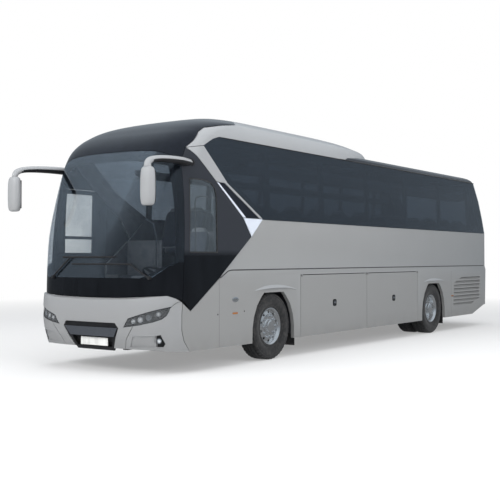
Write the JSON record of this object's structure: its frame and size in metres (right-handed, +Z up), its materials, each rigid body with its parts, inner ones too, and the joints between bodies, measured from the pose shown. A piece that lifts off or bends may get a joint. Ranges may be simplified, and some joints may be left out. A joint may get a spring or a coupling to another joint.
{
  "type": "touring coach",
  "caption": "Two-axle high-floor touring coach with glazed saloon, luggage bays with top-hinged flaps, steered front wheels and rear twin wheels.",
  "frame": {"origin": "centre of the bounding box at road level, with the mirrors counted", "axes": "-Y towards the front of the coach, +X to the coach's left side, +Z up"},
  "size_m": [2.772, 12.2746, 3.8],
  "materials": {
    "silver_paint": "metallic gloss",
    "black_gloss": "gloss",
    "tinted_glass": "gloss",
    "clear_glass": "gloss",
    "black_plastic": "satin",
    "underframe_black": "matte",
    "lamp_lens": "gloss",
    "red_lens": "gloss",
    "tyre_rubber": "matte",
    "polished_rim": "polished",
    "cast_metal": "matte",
    "floor_cover": "matte",
    "seat_cloth": "matte"
  },
  "bodies": {
    "coach_body": {"bumper_corner_left": "silver_paint", "bumper_corner_right": "silver_paint", "centre_grille": "black_plastic", "corner_panel_left": "black_gloss", "corner_panel_right": "black_gloss", "dashboard": "black_plastic", "door_glass_front": "clear_glass", "driver_seat": "seat_cloth", "driver_window": "clear_glass", "engine_block": "cast_metal", "floor_deck": "floor_cover", "front_axle": "cast_metal", "front_dome": "black_gloss", "front_flap": "silver_paint", "headlamp_left": "lamp_lens", "headlamp_right": "lamp_lens", "mirror_left": "silver_paint", "mirror_right": "silver_paint", "passenger_door_front": "silver_paint", "passenger_door_mid": "silver_paint", "passenger_seats_left": "seat_cloth", "passenger_seats_right": "seat_cloth", "pillar_hoop_left": "silver_paint", "pillar_hoop_right": "silver_paint", "rear_axle": "cast_metal", "rear_wall": "silver_paint", "rear_window": "tinted_glass", "roof_hood": "silver_paint", "roof_shell": "black_gloss", "side_glass_left": "tinted_glass", "side_glass_right": "tinted_glass", "side_wall_left": "silver_paint", "side_wall_right": "silver_paint", "tail_lamp_left": "red_lens", "tail_lamp_right": "red_lens", "underframe": "underframe_black", "windscreen": "clear_glass", "windscreen_frame": "black_plastic", "wiper_left": "black_plastic", "wiper_right": "black_plastic"},
    "steering_knuckle_left": {"knuckle_left": "cast_metal"},
    "front_wheel_left": {"front_tyre_left": "tyre_rubber", "front_rim_left": "polished_rim"},
    "rear_wheel_left": {"rear_tyre_outer_left": "tyre_rubber", "rear_tyre_inner_left": "tyre_rubber", "rear_rim_left": "polished_rim"},
    "flap_front_left": {"luggage_flap_front_left": "silver_paint"},
    "flap_rear_left": {"luggage_flap_rear_left": "silver_paint"},
    "steering_knuckle_right": {"knuckle_right": "cast_metal"},
    "front_wheel_right": {"front_tyre_right": "tyre_rubber", "front_rim_right": "polished_rim"},
    "rear_wheel_right": {"rear_tyre_outer_right": "tyre_rubber", "rear_tyre_inner_right": "tyre_rubber", "rear_rim_right": "polished_rim"},
    "flap_front_right": {"luggage_flap_front_right": "silver_paint"},
    "flap_rear_right": {"luggage_flap_rear_right": "silver_paint"},
    "hatch": {"engine_hatch": "silver_paint"},
    "hand_wheel": {"steering_wheel": "black_plastic"}
  },
  "joints": [
    {"name": "steer_left", "type": "hinge", "parent": "coach_body", "child": "steering_knuckle_left", "pos_m": [0.985, -3.138, 0.515], "axis": [0, 0, 1], "range_deg": [-40, 40]},
    {"name": "front_wheel_spin_left", "type": "hinge", "parent": "steering_knuckle_left", "child": "front_wheel_left", "pos_m": [1.0875, -3.138, 0.515], "axis": [1, 0, 0], "continuous": true},
    {"name": "rear_wheel_spin_left", "type": "hinge", "parent": "coach_body", "child": "rear_wheel_left", "pos_m": [1.0875, 2.912, 0.515], "axis": [1, 0, 0], "continuous": true},
    {"name": "steer_right", "type": "hinge", "parent": "coach_body", "child": "steering_knuckle_right", "pos_m": [-0.985, -3.138, 0.515], "axis": [0, 0, 1], "range_deg": [-40, 40]},
    {"name": "front_wheel_spin_right", "type": "hinge", "parent": "steering_knuckle_right", "child": "front_wheel_right", "pos_m": [-1.0875, -3.138, 0.515], "axis": [1, 0, 0], "continuous": true},
    {"name": "rear_wheel_spin_right", "type": "hinge", "parent": "coach_body", "child": "rear_wheel_right", "pos_m": [-1.0875, 2.912, 0.515], "axis": [1, 0, 0], "continuous": true},
    {"name": "luggage_flap_front_left", "type": "hinge", "parent": "coach_body", "child": "flap_front_left", "pos_m": [1.262, -1.218, 1.288], "axis": [0, -1, 0], "range_deg": [0, 85]},
    {"name": "luggage_flap_rear_left", "type": "hinge", "parent": "coach_body", "child": "flap_rear_left", "pos_m": [1.262, 1.022, 1.288], "axis": [0, -1, 0], "range_deg": [0, 85]},
    {"name": "luggage_flap_front_right", "type": "hinge", "parent": "coach_body", "child": "flap_front_right", "pos_m": [-1.262, -1.218, 1.288], "axis": [0, 1, 0], "range_deg": [0, 85]},
    {"name": "luggage_flap_rear_right", "type": "hinge", "parent": "coach_body", "child": "flap_rear_right", "pos_m": [-1.262, 0.422, 1.288], "axis": [0, 1, 0], "range_deg": [0, 85]},
    {"name": "engine_hatch_lift", "type": "hinge", "parent": "coach_body", "child": "hatch", "pos_m": [0, 6.1186, 1.732], "axis": [1, 0, 0], "range_deg": [0, 80]},
    {"name": "steering_wheel_turn", "type": "hinge", "parent": "coach_body", "child": "hand_wheel", "pos_m": [0.62, -5.098, 1.33], "axis": [0, 0.5, 0.866], "range_deg": [-720, 720]}
  ],
  "couplings": [
    {"joint": "steer_right", "follows": "steer_left", "ratio": 1},
    {"joint": "steering_wheel_turn", "follows": "steer_left", "ratio": 18}
  ]
}
